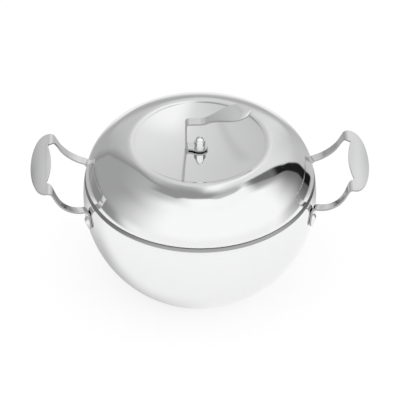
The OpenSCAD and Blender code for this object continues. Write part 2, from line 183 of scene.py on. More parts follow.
class SteelFinish(bpy.types.PropertyGroup):
    polished: colour("Polished steel", "Colour of the mirror-polished sheet", (0.86, 0.862, 0.866))
    strap: colour("Strap steel", "Colour of the straps' faces", (0.81, 0.812, 0.816))
    edge: colour("Strap edges", "Colour of the straps' sheared edges", (0.42, 0.42, 0.425))
    satin: colour("Satin steel", "Colour of the satin inside", (0.66, 0.66, 0.665))
    # Painted shade: in a band below the rim the body's steel is darkened, standing for the shade under the
    # lid's hem, and made satin
    painted_shade_band: length("Rim band", "Height of the darker, satin band below the rim", 3.4)
    rim_shade: share("Rim shade", "Tone of that band, as a share of the polished steel's", 0.42)
    rim_roughness: share("Rim roughness", "Roughness of that band", 0.28)
    rubber: colour("Rubber", "Colour of the gaskets", (0.12, 0.12, 0.12))
    aluminium: colour("Aluminium", "Colour of the disc in the base", (0.72, 0.72, 0.73))
    polish: share("Polish", "Roughness of the polished sheet", 0.045)
    strap_polish: share("Strap polish", "Roughness of the straps", 0.09)
    edge_polish: share("Edge polish", "Roughness of the straps' edges", 0.32)
    brushing: share("Brushing", "Roughness of the satin inside", 0.26)
    rolling: share("Rolling", "Roughness of the disc in the base", 0.35)


class StageSettings(bpy.types.PropertyGroup):
    elevation: angle("Elevation", "Height of the camera above the horizon", 39.0)
    azimuth: angle("Azimuth", "Turn of the camera to the left of the front", 1.1)
    distance: length("Distance", "From the camera to the aim", 3000)
    mm_per_pixel: FloatProperty(name="Scale", description="Millimetres for each pixel at the aim",
                                default=1.062)
    aim_z: length("Aim", "Height of the point that the camera aims at", 105)
    aim_right: FloatProperty(name="Aim right", description="Pixels from the middle to the aim", default=-0.2)
    aim_up: FloatProperty(name="Aim up", description="Pixels from the middle up to the aim", default=7.2)
    frame_px: IntProperty(name="Frame", description="Width and height of the picture in pixels", default=400)


# Outlines and walks

def unit(angle_deg):
    """The direction at an angle in degrees."""
    return Vector((math.cos(math.radians(angle_deg)), math.sin(math.radians(angle_deg))))


def smooth(x):
    """0 below 0, 1 above 1, and smooth between."""
    k = min(1.0, max(0.0, x))
    return k * k * (3 - 2 * k)


def mix(a, b, k):
    return a + (b - a) * smooth(k)


def arc(mid, r, a, b, longest=1.2 * MM, widest=6):
    """Points of an arc after its first one, from angle a to angle b in degrees."""
    turn = math.radians(abs(b - a)) * abs(r)
    n = max(math.ceil(turn / longest), math.ceil(abs(b - a) / widest), 1)
    return [Vector(mid) + r * unit(a + (b - a) * i / n) for i in range(1, n + 1)]


def line(a, b, longest=2.5 * MM):
    """Points of a straight line after its first one."""
    a, b = Vector(a), Vector(b)
    n = max(math.ceil((b - a).length / longest), 1)
    return [a.lerp(b, i / n) for i in range(1, n + 1)]


def corners(*points):
    """Corners of an outline, from pairs of radius and height."""
    return [Vector(p) for p in points]


def beside(path, t):
    """A line of points moved by t to the right of its run."""
    moved = []
    for i, p in enumerate(path):
        a = path[max(i, 1)] - path[max(i, 1) - 1]
        b = path[min(i + 1, len(path) - 1)] - path[min(i + 1, len(path) - 1) - 1]
        mitre = a.normalized() + b.normalized()
        moved.append(p + 2 * t / mitre.length_squared * Vector((mitre.y, -mitre.x)))
    return moved


def sheet_outline(path, t):
    """Section of a sheet with its skin along a path."""
    return path + beside(path, t)[::-1]


# Modelling

def start_piece(name, corner):
    """A new mesh that is one vertex, selected in edit mode."""
    bpy.ops.object.select_all(action="DESELECT")
    bpy.ops.mesh.primitive_plane_add(size=MM)
    piece = bpy.context.object
    piece.name = piece.data.name = name
    bpy.ops.object.mode_set(mode="EDIT")
    bpy.ops.mesh.merge(type="CENTER")
    bpy.ops.transform.translate(value=corner)
    return piece


def turned_piece(name, outline, steps=288, axis_angle=30):
    """A shell of revolution round the Z axis, from a closed outline of radius and height."""
    points = [Vector((p[0], 0, p[1])) for p in outline]
    piece = start_piece(name, points[0])
    for a, b in zip(points, points[1:]):
        bpy.ops.mesh.extrude_region_move(TRANSFORM_OT_translate={"value": b - a})
    bpy.ops.mesh.select_all(action="SELECT")
    bpy.ops.mesh.spin(steps=steps, angle=2 * math.pi, center=(0, 0, 0), axis=(0, 0, 1))
    bpy.ops.mesh.select_all(action="SELECT")
    bpy.ops.mesh.remove_doubles(threshold=MERGE)
    bpy.ops.mesh.normals_make_consistent(inside=False)
    bpy.ops.object.mode_set(mode="OBJECT")
    bpy.ops.object.shade_smooth_by_angle(angle=math.radians(axis_angle))
    return piece


def place_row(piece, points):
    """Puts the selected row of vertices on the given points, in the order of the row."""
    mesh = bmesh.from_edit_mesh(piece.data)
    row = sorted((v for v in mesh.verts if v.select), key=lambda v: v.co.dot(points[-1] - points[0]))
    for vertex, point in zip(row, points):
        vertex.co = point
    bmesh.update_edit_mesh(piece.data)


def sheet_piece(name, rows):
    """A sheet that runs through rows of points, extruded row by row."""
    piece = start_piece(name, rows[0][0])
    for a, b in zip(rows[0], rows[0][1:]):
        bpy.ops.mesh.extrude_region_move(TRANSFORM_OT_translate={"value": b - a})
    bpy.ops.mesh.select_all(action="SELECT")
    for old, new in zip(rows, rows[1:]):
        bpy.ops.mesh.extrude_region_move(TRANSFORM_OT_translate={"value": new[0] - old[0]})
        place_row(piece, new)
    bpy.ops.object.mode_set(mode="OBJECT")
    return piece


def add_modifier(piece, kind, **settings):
    modifier = piece.modifiers.new(kind.title(), kind)
    for key, value in settings.items():
        setattr(modifier, key, value)
    bpy.ops.object.modifier_apply(modifier=modifier.name)


def face_outwards():
    """Recalculates the active piece's normals."""
    bpy.ops.object.mode_set(mode="EDIT")
    bpy.ops.mesh.select_all(action="SELECT")
    bpy.ops.mesh.normals_make_consistent(inside=False)
    bpy.ops.object.mode_set(mode="OBJECT")


def pressed_strap(piece, thickness):
    """Gives a sheet its thickness, and rounded edges with a finish of their own."""
    piece.data.materials.append(finish("polished_strap"))
    piece.data.materials.append(finish("sheared_edge"))
    bpy.ops.object.select_all(action="DESELECT")
    piece.select_set(True)
    bpy.context.view_layer.objects.active = piece
    face_outwards()
    add_modifier(piece, "SOLIDIFY", thickness=thickness, offset=0, use_even_offset=True,
                 material_offset_rim=1)
    add_modifier(piece, "BEVEL", width=STRAP_EDGE, segments=2, limit_method="ANGLE",
                 angle_limit=math.radians(50))
    add_modifier(piece, "SUBSURF", levels=1, render_levels=1)
    face_outwards()
    bpy.ops.object.shade_smooth()


def copy_of(piece, name, matrix):
    """A copy with its own mesh, whose place is in its mesh."""
    made = piece.copy()
    made.data = piece.data.copy()
    made.name = made.data.name = name
    bpy.context.scene.collection.objects.link(made)
    made.data.transform(matrix)
    if matrix.determinant() < 0:
        made.data.flip_normals()
    return made


def finish_piece(piece, node, body, slot, *materials):
    """Hides the imported part that a piece stands for, attaches the piece to the body that it moves with, and
    gives it its materials.
    """
    for each in materials:
        piece.data.materials.append(each)
    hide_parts(node)
    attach(piece, body)


class Place:
    """A place on a strap's middle line, with its heading and the direction of its upper face."""

    def __init__(self, point, pitch, azimuth):
        self.point = Vector(point)
        self.heading = Vector((math.cos(pitch) * math.cos(azimuth), math.cos(pitch) * math.sin(azimuth),
                               math.sin(pitch)))
        self.up = Vector((-math.sin(pitch) * math.cos(azimuth), -math.sin(pitch) * math.sin(azimuth),
                          math.cos(pitch)))
        self.across = self.heading.cross(self.up)

    def row(self, low, high, columns, crown=0):
        return crowned_row(self.point + self.across * low, self.point + self.across * high, self.up, crown,
                           columns)


def crowned_row(low, high, up, crown, columns):
    return [low.lerp(high, i / columns) + up * crown * 4 * (i / columns) * (1 - i / columns)
            for i in range(columns + 1)]


def walk(start, distance, pitch, azimuth, step=1.5 * MM, fewest=3):
    """Places along one run of a strap, after its start. Pitch and azimuth are pairs in radians."""
    n = max(math.ceil(distance / step), fewest)
    places, here = [], start

    def between(pair, k):
        return pair[0] + (pair[1] - pair[0]) * k

    for i in range(n):
        half = Place(here.point, between(pitch, (i + 0.5) / n), between(azimuth, (i + 0.5) / n))
        here = Place(here.point + half.heading * distance / n, between(pitch, (i + 1) / n),
                     between(azimuth, (i + 1) / n))
        places.append(here)
    return places


def turned(r, pitch):
    """Length of a bend of radius r from one pitch to another."""
    return r * abs(pitch[1] - pitch[0])


COLUMNS = 6                                     # faces across a strap
PAD_ANGLES = (9, 20, 31, 42, 53, 64, 75, 90)    # where the rows of a round foot lie on its edge


def pad_rows(start, r):
    """Rows of a round foot at the start of a strap."""
    rows = []
    for a in PAD_ANGLES:
        u = unit(a)
        centre = start.point - start.heading * r * u.x
        rows.append(crowned_row(centre - start.across * r * u.y, centre + start.across * r * u.y, start.up, 0,
                                COLUMNS))
    return rows


# Materials

class Wire:
    """A number in a node tree, which can be added to and multiplied."""

    def __init__(self, tree, socket):
        self.tree = tree
        self.socket = socket

    def math(self, operation, *others):
        node = self.tree.nodes.new("ShaderNodeMath")
        node.operation = operation
        for i, value in enumerate((self, *others)):
            plug(self.tree, value, node.inputs[i])
        return Wire(self.tree, node.outputs[0])

    def __add__(self, other):
        return self.math("ADD", other)

    def __sub__(self, other):
        return self.math("SUBTRACT", other)

    def __mul__(self, other):
        return self.math("MULTIPLY", other)

    def flipped(self):
        return self.math("MULTIPLY_ADD", -1.0, 1.0)

    def steps(self, low, high):
        """0 below low, 1 above high, and smooth between."""
        node = self.tree.nodes.new("ShaderNodeMapRange")
        node.interpolation_type = "SMOOTHSTEP"
        plug(self.tree, self, node.inputs["Value"])
        node.inputs["From Min"].default_value = low
        node.inputs["From Max"].default_value = high
        return Wire(self.tree, node.outputs["Result"])

    def band(self, low, high, soft):
        """1 from low to high, with soft ends."""
        return self.steps(low - soft, low + soft) * self.steps(high - soft, high + soft).flipped()

    def mixed(self, low, high):
        """low where this is 0, high where it is 1."""
        node = self.tree.nodes.new("ShaderNodeMix")
        node.data_type = "FLOAT"
        plug(self.tree, self, node.inputs[0])
        plug(self.tree, low, node.inputs[2])
        plug(self.tree, high, node.inputs[3])
        return Wire(self.tree, node.outputs[0])


def plug(tree, value, socket):
    """Links a wire or a socket to a socket, or sets the socket to a number."""
    if isinstance(value, Wire):
        tree.links.new(value.socket, socket)
    elif isinstance(value, bpy.types.NodeSocket):
        tree.links.new(value, socket)
    else:
        socket.default_value = value


def split(tree, vector):
    """The three numbers of a vector."""
    node = tree.nodes.new("ShaderNodeSeparateXYZ")
    tree.links.new(vector, node.inputs[0])
    return [Wire(tree, node.outputs[i]) for i in range(3)]


def joined(tree, x, y, z):
    node = tree.nodes.new("ShaderNodeCombineXYZ")
    for value, socket in zip((x, y, z), node.inputs):
        plug(tree, value, socket)
    return node.outputs[0]


def noise(tree, vector, scale, detail, rough):
    node = tree.nodes.new("ShaderNodeTexNoise")
    tree.links.new(vector, node.inputs["Vector"])
    node.inputs["Scale"].default_value = scale
    node.inputs["Detail"].default_value = detail
    node.inputs["Roughness"].default_value = rough
    return Wire(tree, node.outputs["Fac"])


def bumped(tree, height, distance, normal=None):
    node = tree.nodes.new("ShaderNodeBump")
    node.inputs["Strength"].default_value = 1.0
    node.inputs["Distance"].default_value = distance
    plug(tree, height, node.inputs["Height"])
    if normal is not None:
        tree.links.new(normal, node.inputs["Normal"])
    return node.outputs["Normal"]


def new_material(name):
    """A material with an empty principled shader, and its object coordinates."""
    material = bpy.data.materials.new(name)
    material.use_nodes = True
    tree = material.node_tree
    tree.nodes.clear()
    shader = tree.nodes.new("ShaderNodeBsdfPrincipled")
    output = tree.nodes.new("ShaderNodeOutputMaterial")
    tree.links.new(shader.outputs[0], output.inputs[0])
    place = tree.nodes.new("ShaderNodeTexCoord").outputs["Object"]
    return material, tree, shader, place


def steel(name, tint, roughness, spread, ripple, ring_bump, ring_pitch, stain):
    """Metal sheet with turning or polishing lines round the Z axis.

    Spread is how much the roughness varies over smudges and lines, ripple the height of the sheet's slow waves,
    ring_bump and ring_pitch the lines' height and spacing, and stain how much the colour varies.
    """
    material, tree, shader, place = new_material(name)
    x, y, z = split(tree, place)
    radius = (x * x + y * y).math("SQRT")
    turn = y.math("ARCTAN2", x)
    per_line = 1 / ring_pitch
    lines = noise(tree, joined(tree, radius * per_line, z * per_line, turn * 2.0), 1.0, 4.0, 0.6)
    clouds = noise(tree, place, scale=26.0, detail=3.0, rough=0.55)
    smudge = noise(tree, place, scale=90.0, detail=5.0, rough=0.65)
    waves = noise(tree, place, scale=34.0, detail=1.0, rough=0.4)
    shader.inputs["Metallic"].default_value = 1.0
    base = tree.nodes.new("ShaderNodeMix")
    base.data_type = "RGBA"
    tree.links.new(clouds.socket, base.inputs[0])
    base.inputs[6].default_value = (*[c * (1 - stain) for c in tint], 1)
    base.inputs[7].default_value = (*[min(1, c * (1 + stain)) for c in tint], 1)
    tree.links.new(base.outputs[2], shader.inputs["Base Color"])
    rough = (smudge.steps(0.35, 0.75) * spread + lines.steps(0.3, 0.8) * (spread * 0.6)) + roughness
    plug(tree, rough, shader.inputs["Roughness"])
    normal = bumped(tree, waves, ripple)
    normal = bumped(tree, lines, ring_bump, normal=normal)
    tree.links.new(normal, shader.inputs["Normal"])
    return material


def add_painted_rim_shade(material, low, high, shade, roughness):
    """Paints shade on the steel between two heights, for the shade under the lid's hem, and makes it satin
    there.
    """
    soft = 0.5 * MM
    tree = material.node_tree
    shader = next(node for node in tree.nodes if node.type == "BSDF_PRINCIPLED")
    z = split(tree, tree.nodes.new("ShaderNodeTexCoord").outputs["Object"])[2]
    inside = z.steps(low, low + soft) * z.steps(high, high + soft).flipped()
    rough = shader.inputs["Roughness"]
    plug(tree, inside.mixed(Wire(tree, rough.links[0].from_socket), roughness), rough)
    base = shader.inputs["Base Color"]
    # painted shade: the base colour is scaled down in the band, darkening the steel under the lid's hem
    tint = tree.nodes.new("ShaderNodeVectorMath")
    tint.operation = "SCALE"
    tree.links.new(base.links[0].from_socket, tint.inputs[0])
    plug(tree, inside.mixed(1.0, shade), tint.inputs["Scale"])
    tree.links.new(tint.outputs[0], base)


def rubber(name, tint):
    """Matt rubber with a fine grain."""
    material, tree, shader, place = new_material(name)
    grain = noise(tree, place, scale=900.0, detail=3.0, rough=0.6)
    shader.inputs["Base Color"].default_value = (*tint, 1)
    plug(tree, grain * 0.25 + 0.5, shader.inputs["Roughness"])
    tree.links.new(bumped(tree, grain, 0.05 * MM), shader.inputs["Normal"])
    return material


# For each finish: the names of its colour and its roughness in SteelFinish, then its spread, ripple, ring bump,
# ring pitch and stain, with the lengths in millimetres
METALS = {
    "polished_body": ("polished", "polish", 0.02, 0.012, 0.0008, 0.35, 0.01),
    "polished_sheet": ("polished", "polish", 0.02, 0.012, 0.0008, 0.35, 0.01),
    "sheared_edge": ("edge", "edge_polish", 0.1, 0.02, 0.002, 0.4, 0.05),
    "polished_strap": ("strap", "strap_polish", 0.05, 0.02, 0.001, 0.4, 0.015),
    "polished_fastener": ("polished", "strap_polish", 0.06, 0.01, 0.001, 0.25, 0.02),
    "satin_inside": ("satin", "brushing", 0.08, 0.01, 0.006, 0.5, 0.04),
    "turned_underside": ("satin", "brushing", 0.1, 0.01, 0.012, 0.9, 0.05),
    "rolled_aluminium": ("aluminium", "rolling", 0.1, 0.02, 0.004, 0.5, 0.05),
}


def finish(key):
    """The material of that name, made once."""
    made = bpy.data.materials.get(key)
    if made:
        return made
    settings = bpy.context.scene.pot_finish
    if key == "gasket_rubber":
        return rubber(key, settings.rubber)
    tint, roughness, spread, ripple, bump, pitch, stain = METALS[key]
    made = steel(key, getattr(settings, tint), getattr(settings, roughness), spread, ripple * MM, bump * MM,
                 pitch * MM, stain)
    # the body gets painted shade, and a satin roughness, in a band below the rim
    if key == "polished_body":
        add_painted_rim_shade(made, RIM_Z - settings.painted_shade_band, RIM_Z, settings.rim_shade, settings.rim_roughness)
    return made


def paint_faces(piece, index, wanted):
    """Gives a material slot to the faces whose middle and normal meet a test."""
    for face in piece.data.polygons:
        if wanted(face.center, face.normal):
            face.material_index = index


# Pieces

def ball_middle(sizes):
    return BASE_H + math.sqrt(BALL_R ** 2 - sizes.foot_r ** 2)


def body_outline(sizes):
    """Skin of the body from the middle of its underside to the end of its lip."""
    ball_z = ball_middle(sizes)
    foot_z = BASE_H + sizes.foot_round
    foot_mid = Vector((math.sqrt((BALL_R - sizes.foot_round) ** 2 - (ball_z - foot_z) ** 2), foot_z))
    foot_end = math.degrees(math.atan2(foot_mid.y - ball_z, foot_mid.x))
    rise = RIM_Z - ball_z
    turn_start = math.degrees(math.asin((rise - sizes.turn_r) / (BALL_R - sizes.turn_r)))
    turn_mid = Vector(((BALL_R - sizes.turn_r) * math.cos(math.radians(turn_start)), RIM_Z - sizes.turn_r))
    lip_mid = Vector((turn_mid.x, RIM_Z - sizes.lip_r))
    skin = corners((0, BASE_H))
    skin += line(skin[-1], foot_mid - Vector((0, sizes.foot_round)))
    skin += arc(foot_mid, sizes.foot_round, -90, foot_end)
    skin += arc((0, ball_z), BALL_R, foot_end, turn_start)
    skin += arc(turn_mid, sizes.turn_r, turn_start, 90)
    skin += arc(lip_mid, sizes.lip_r, 90, 180, widest=10)
    skin += line(skin[-1], (lip_mid.x - sizes.lip_r, lip_mid.y - sizes.lip_drop))
    return skin, lip_mid


class POT_OT_body(bpy.types.Operator):
    """Spins the ball-shaped body with its turned-in rim"""
    bl_idname = "pot.body"
    bl_label = "Body"

    def execute(self, context):
        sizes = context.scene.pot_body_sizes
        skin, lip_mid = body_outline(sizes)
        piece = turned_piece("steel_body", sheet_outline(skin, -sizes.wall))
        finish_piece(piece, "pot_body", "pot", "polished_steel",
                     finish("polished_body"), finish("satin_inside"))
        ball_z = ball_middle(sizes)
        inner = BALL_R - sizes.wall * 0.5

        def inside(centre, normal):
            return Vector((centre.x, centre.y, centre.z - ball_z)).length < inner and (
                normal.x * centre.x + normal.y * centre.y < 0 or normal.z > 0.9) and centre.z < lip_mid.y

        paint_faces(piece, 1, inside)
        return {"FINISHED"}


class POT_OT_base(bpy.types.Operator):
    """Spins the cap under the body and finishes the disc that it holds"""
    bl_idname = "pot.base"
    bl_label = "Base"

    def execute(self, context):
        sizes = context.scene.pot_body_sizes
        cap_r = (CAP_HIGH.y - CAP_LOW.y) / 2
        flat = cap_r - sizes.cap_round
        skin = corners((0, 0))
        skin += line(skin[-1], (flat, 0))
        skin += arc((flat, sizes.cap_round), sizes.cap_round, -90, 0)
        skin += line(skin[-1], (cap_r, CAP_HIGH.z))
        piece = turned_piece("base_steel_cap", sheet_outline(skin, -sizes.cap_wall))
        finish_piece(piece, "base_cap", "pot", "polished_steel",
                     finish("polished_sheet"), finish("turned_underside"))
        paint_faces(piece, 1, lambda centre, normal: normal.z < -0.99)
        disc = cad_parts["base_core"]
        disc.data.materials.clear()
        disc.data.materials.append(finish("rolled_aluminium"))
        return {"FINISHED"}


def side_handle_rows(sizes, ball_z):
    """Rows of the rear half of the right-hand handle, from its foot to its middle line."""
    azimuth = math.asin(sizes.rivet_y / BALL_R)
    out = Vector((math.cos(azimuth), math.sin(azimuth), 0))
    start = Place(out * (BALL_R + sizes.strap / 2) + Vector((0, 0, ball_z - sizes.rivet_drop)), math.pi / 2,
                  azimuth)
    foot = walk(start, sizes.tab_run, (math.pi / 2, math.pi / 2), (azimuth, azimuth))
    pitch = (math.pi / 2, sizes.arm_pitch)
    root = walk(foot[-1], turned(sizes.tab_bend_r, pitch), pitch, (azimuth, azimuth), 0.7 * MM)
    pitch = (sizes.arm_pitch, sizes.arm_slope)
    arm = walk(root[-1], turned(sizes.arm_curve_r, pitch), pitch, (azimuth, -sizes.arm_close))
    leg = walk(arm[-1], sizes.arm_straight, (sizes.arm_slope, sizes.arm_slope), (-sizes.arm_close, 0))
    pitch = (sizes.arm_slope, -sizes.grip_tilt)
    fold = walk(leg[-1], turned(sizes.fold_r, pitch), pitch, (0, 0), 0.6 * MM)
    rows = pad_rows(start, sizes.tab_r)
    half = sizes.arm_w / 2
    for i, here in enumerate(foot):
        w = mix(sizes.tab_r, half, (i + 1) / len(foot))
        rows.append(here.row(-w, w, COLUMNS))
    rows += [here.row(-half, half, COLUMNS) for here in root + arm]
    wide = leg + fold
    for i, here in enumerate(wide):
        k = (i + 1) / len(wide)
        rows.append(here.row(-mix(half, sizes.leg_out, k), mix(half, sizes.leg_in, k), COLUMNS))
    end = fold[-1]
    edge = end.point.y + sizes.leg_out
    notch = end.point.y - sizes.leg_in
    middle = Vector((end.point.x, 0, end.point.z))
    reach = sizes.grip_out - GRIP_KEEP
    for i in range(1, GRIP_STEPS + 1):
        a = 90 * i / GRIP_STEPS
        u = unit(a)
        along = sizes.notch_out * smooth(a / NOTCH_TURN) - sizes.grip_in * (1 - u.x ** 4)
        outer = middle + end.heading * reach * u.y ** sizes.grip_power + Vector((0, edge * u.x, 0))
        inner = middle + end.heading * along + Vector((0, notch * u.x ** 2, 0))
        if i == GRIP_STEPS:
            outer.y = inner.y = 0
        rows.append(crowned_row(outer, inner, end.up, sizes.grip_crown * smooth(a / 90), COLUMNS))
    return rows


class POT_OT_side_handles(bpy.types.Operator):
    """Bends the two side handles from a strap, one a mirror image of the other"""
    bl_idname = "pot.side_handles"
    bl_label = "Side handles"

    def execute(self, context):
        sizes = context.scene.pot_side_handle_sizes
        piece = sheet_piece("right_strap_handle",
                            side_handle_rows(sizes, ball_middle(context.scene.pot_body_sizes)))
        add_modifier(piece, "MIRROR", use_axis=(False, True, False), use_clip=False,
                     merge_threshold=0.01 * MM)
        pressed_strap(piece, sizes.strap)
        other = copy_of(piece, "left_strap_handle", Matrix.Scale(-1, 4, (1, 0, 0)))
        finish_piece(piece, "right_handle", "pot", "polished_steel")
        finish_piece(other, "left_handle", "pot", "polished_steel")
        return {"FINISHED"}


def domed_outline(r, h, base):
    """Outline of a domed head on a plane at base, from its edge to its top."""
    ball = (r * r + h * h) / (2 * h)
    start = math.degrees(math.asin((ball - h) / ball))
    return corners((r, base)) + arc((0, base + h - ball), ball, start, 90, longest=0.35 * MM)


class POT_OT_rivets(bpy.types.Operator):
    """Turns one rivet and sets a copy at each foot of the side handles"""
    bl_idname = "pot.rivets"
    bl_label = "Rivets"

    def execute(self, context):
        body = context.scene.pot_body_sizes
        handle = context.scene.pot_side_handle_sizes
        sizes = context.scene.pot_fastener_sizes
        inner = (BALL_R - body.wall) * math.cos(body.facet / 2)
        reach = sizes.rivet_tail_r + handle.rivet_drop
        tail = math.sqrt(inner ** 2 - reach ** 2) - sizes.hole_gap
        low = tail - sizes.rivet_tail_h
        top = BALL_R + handle.strap
        edge = sizes.edge
        outline = corners((0, low), (sizes.rivet_tail_r - edge, low))
        outline += arc((sizes.rivet_tail_r - edge, low + edge), edge, -90, 0, widest=30)
        outline += corners((sizes.rivet_tail_r, tail), (sizes.rivet_r, tail), (sizes.rivet_r, top))
        outline += domed_outline(sizes.rivet_head_r, sizes.rivet_head_h, top)
        pattern = turned_piece("rivet_pattern", outline, steps=48, axis_angle=35)
        azimuth = math.asin(handle.rivet_y / BALL_R)
        lift = Matrix.Translation((0, 0, ball_middle(body) - handle.rivet_drop))
        flip = Matrix.Scale(-1, 4, (1, 0, 0))
        for side in ("left", "right"):
            for end, turn in (("front", -azimuth), ("rear", azimuth)):
                matrix = lift @ Matrix.Rotation(turn, 4, "Z") @ Matrix.Rotation(math.pi / 2, 4, "Y")
                if side == "left":
                    matrix = flip @ matrix
                piece = copy_of(pattern, f"{side}_{end}_domed_rivet", matrix)
                finish_piece(piece, f"{side}_{end}_rivet", "pot", "polished_steel",
                             finish("polished_fastener"))
        bpy.data.objects.remove(pattern)
        return {"FINISHED"}


def lid_outline(sizes, body):
    """Skin of the lid from the middle of its dish to its folded edge."""
    _, lip_mid = body_outline(body)
    shoulder_end = 90 - math.degrees(sizes.band_slope)
    band_end = 90 - math.degrees(sizes.band_top_slope)
    crest_end = 90 + math.degrees(sizes.crest_slope)
    flare = math.degrees(sizes.flare)
    hem_mid = Vector((LID_R - sizes.hem_r, SEAT_Z + sizes.hem_r))
    dome_mid = hem_mid - (sizes.dome_r - sizes.hem_r) * unit(flare)
    shoulder = dome_mid + sizes.dome_r * unit(shoulder_end)
    crest_x = LID_R - sizes.crest_in + sizes.crest_round * unit(band_end).x
    band_r = (shoulder.x - crest_x) / (unit(shoulder_end).x - unit(band_end).x)
    band_mid = dome_mid + (sizes.dome_r - band_r) * unit(shoulder_end)
    crest_mid = band_mid + (band_r - sizes.crest_round) * unit(band_end)
    crest_side = crest_mid + sizes.crest_round * unit(crest_end)
    foot = crest_side - sizes.crest_drop * Vector((1 / math.tan(sizes.crest_slope), 1))
    hollow_mid = foot + sizes.hollow_round * unit(crest_end)
    dish_end = 90 + math.degrees(sizes.dish_slope)
    dish_r = sizes.hollow_round + hollow_mid.x / math.sin(sizes.dish_slope)
    dish_mid = Vector((0, hollow_mid.y + (dish_r - sizes.hollow_round) * unit(dish_end).y))
    flat_end = 90 + math.degrees(math.asin(sizes.flat_r / dish_r))
    dish_z = dish_mid.y - dish_r * unit(flat_end).y
    skin = corners((0, dish_z))
    skin += line(skin[-1], (sizes.flat_r, dish_z))
    skin += arc(dish_mid, -dish_r, flat_end, dish_end)
    skin += arc(hollow_mid, -sizes.hollow_round, dish_end, crest_end, longest=0.2 * MM)
    skin += line(skin[-1], crest_side, 0.5 * MM)
    skin += arc(crest_mid, sizes.crest_round, crest_end, band_end, longest=0.5 * MM)
    skin += arc(band_mid, band_r, band_end, shoulder_end)
    skin += arc(dome_mid, sizes.dome_r, shoulder_end, flare)
    skin += arc(hem_mid, sizes.hem_r, flare, -90, longest=0.4 * MM)
    skin += line(skin[-1], (lip_mid.x - sizes.hem_in, SEAT_Z))
    return skin


class POT_OT_lid(bpy.types.Operator):
    """Spins the lid's domed skin and the collar inside it"""
    bl_idname = "pot.lid"
    bl_label = "Lid"

    def execute(self, context):
        sizes = context.scene.pot_lid_sizes
        skin = lid_outline(sizes, context.scene.pot_body_sizes)
        piece = turned_piece("domed_lid", sheet_outline(skin, sizes.wall))
        finish_piece(piece, "lid_skin", "lid", "polished_steel",
                     finish("polished_sheet"), finish("satin_inside"))
        inner_z = SEAT_Z + 0.5 * sizes.wall
        paint_faces(piece, 1, lambda centre, normal: normal.z < -0.05 and centre.z > inner_z)
        flange_z = SEAT_Z + sizes.wall
        mouth = body_outline(context.scene.pot_body_sizes)[0][-1].x
        collar_r = mouth - sizes.collar_gap
        mid = Vector((collar_r + sizes.collar_round, flange_z - sizes.collar_round))
        skin = corners((LID_R - sizes.hem_r, flange_z))
        skin += line(skin[-1], (mid.x, flange_z))
        skin += arc(mid, sizes.collar_round, 90, 180, widest=10)
        skin += line(skin[-1], (collar_r, COLLAR_LOW.z))
        outline = sheet_outline(skin, sizes.collar_wall)
        piece = turned_piece("lid_inner_collar", outline + outline[:1])
        finish_piece(piece, "lid_collar", "lid", "satin_steel", finish("satin_inside"))
        return {"FINISHED"}


def paddle_half(sizes, g):
    """Half-width of the paddle at a share of its length."""
    if g < sizes.widest:
        return mix(sizes.width, sizes.paddle_w, g / sizes.widest) / 2
    beyond = (g - sizes.widest) / (1 - sizes.widest)
    return sizes.paddle_w / 2 * (1 - beyond ** 2) ** PADDLE_POWER


class POT_OT_lid_handle(bpy.types.Operator):
    """Bends the lid's handle from a strap that ends in a paddle"""
    bl_idname = "pot.lid_handle"
    bl_label = "Lid handle"

    def execute(self, context):
        sizes = context.scene.pot_lid_handle_sizes
        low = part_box("lid_handle")[0]
        back = (math.pi, math.pi)
        start = Place((0, 0, low.z + sizes.strap / 2), 0, math.pi)
        pad = walk(start, sizes.riser_x - sizes.bend_r, (0, 0), back)
        half_turn = math.pi / 2
        low_bend = walk(pad[-1], sizes.bend_r * half_turn, (0, half_turn), back, 0.6 * MM)
        riser = walk(low_bend[-1], sizes.riser_h - 2 * sizes.bend_r, (half_turn, half_turn), back)
        high_bend = walk(riser[-1], sizes.bend_r * half_turn, (half_turn, math.pi), back, 0.6 * MM)
        level = walk(high_bend[-1], sizes.level, (math.pi, math.pi), back)
        steep = math.pi - sizes.slope
        kick = walk(level[-1], sizes.kick, (math.pi, steep), back, 1 * MM)
        paddle = walk(kick[-1], sizes.paddle * PADDLE_TIP, (steep, math.pi), back, 1 * MM)
        rows = pad_rows(start, sizes.pad_r)
        half = sizes.width / 2
        for i, here in enumerate(pad):
            w = mix(sizes.pad_r, half, (i + 1) / len(pad))
            rows.append(here.row(-w, w, COLUMNS))
        rows += [here.row(-half, half, COLUMNS) for here in low_bend + riser + high_bend + level + kick]
        for i, here in enumerate(paddle):
            g = (i + 1) / len(paddle)
            w = paddle_half(sizes, g * PADDLE_TIP)
            rows.append(here.row(-w, w, COLUMNS, -sizes.crown * smooth(g)))
        piece = sheet_piece("paddle_handle", rows)
        pressed_strap(piece, sizes.strap)
        finish_piece(piece, "lid_handle", "lid", "polished_steel")
        return {"FINISHED"}


def ring_piece(name, node):
    """A flat ring with rounded edges, in the place of a node."""
    edge = RING_EDGE
    low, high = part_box(node)
    outer = (high.y - low.y) / 2
    hole = bpy.context.scene.pot_fastener_sizes
    inner = hole.screw_r + hole.hole_gap
    outline = corners((inner, low.z), (outer - edge, low.z))
    outline += arc((outer - edge, low.z + edge), edge, -90, 0, widest=30)
    outline += corners((outer, high.z - edge))
    outline += arc((outer - edge, high.z - edge), edge, 0, 90, widest=30)
    outline += corners((inner, high.z), (inner, low.z))
    return turned_piece(name, outline, steps=64)


def hex_reach(flats, x, y):
    """Distance from the axis to the flats of a six-sided nut, in the direction of a point."""
    turn = math.degrees(math.atan2(y, x)) % 60 - 30
    return flats / 2 / math.cos(math.radians(turn))


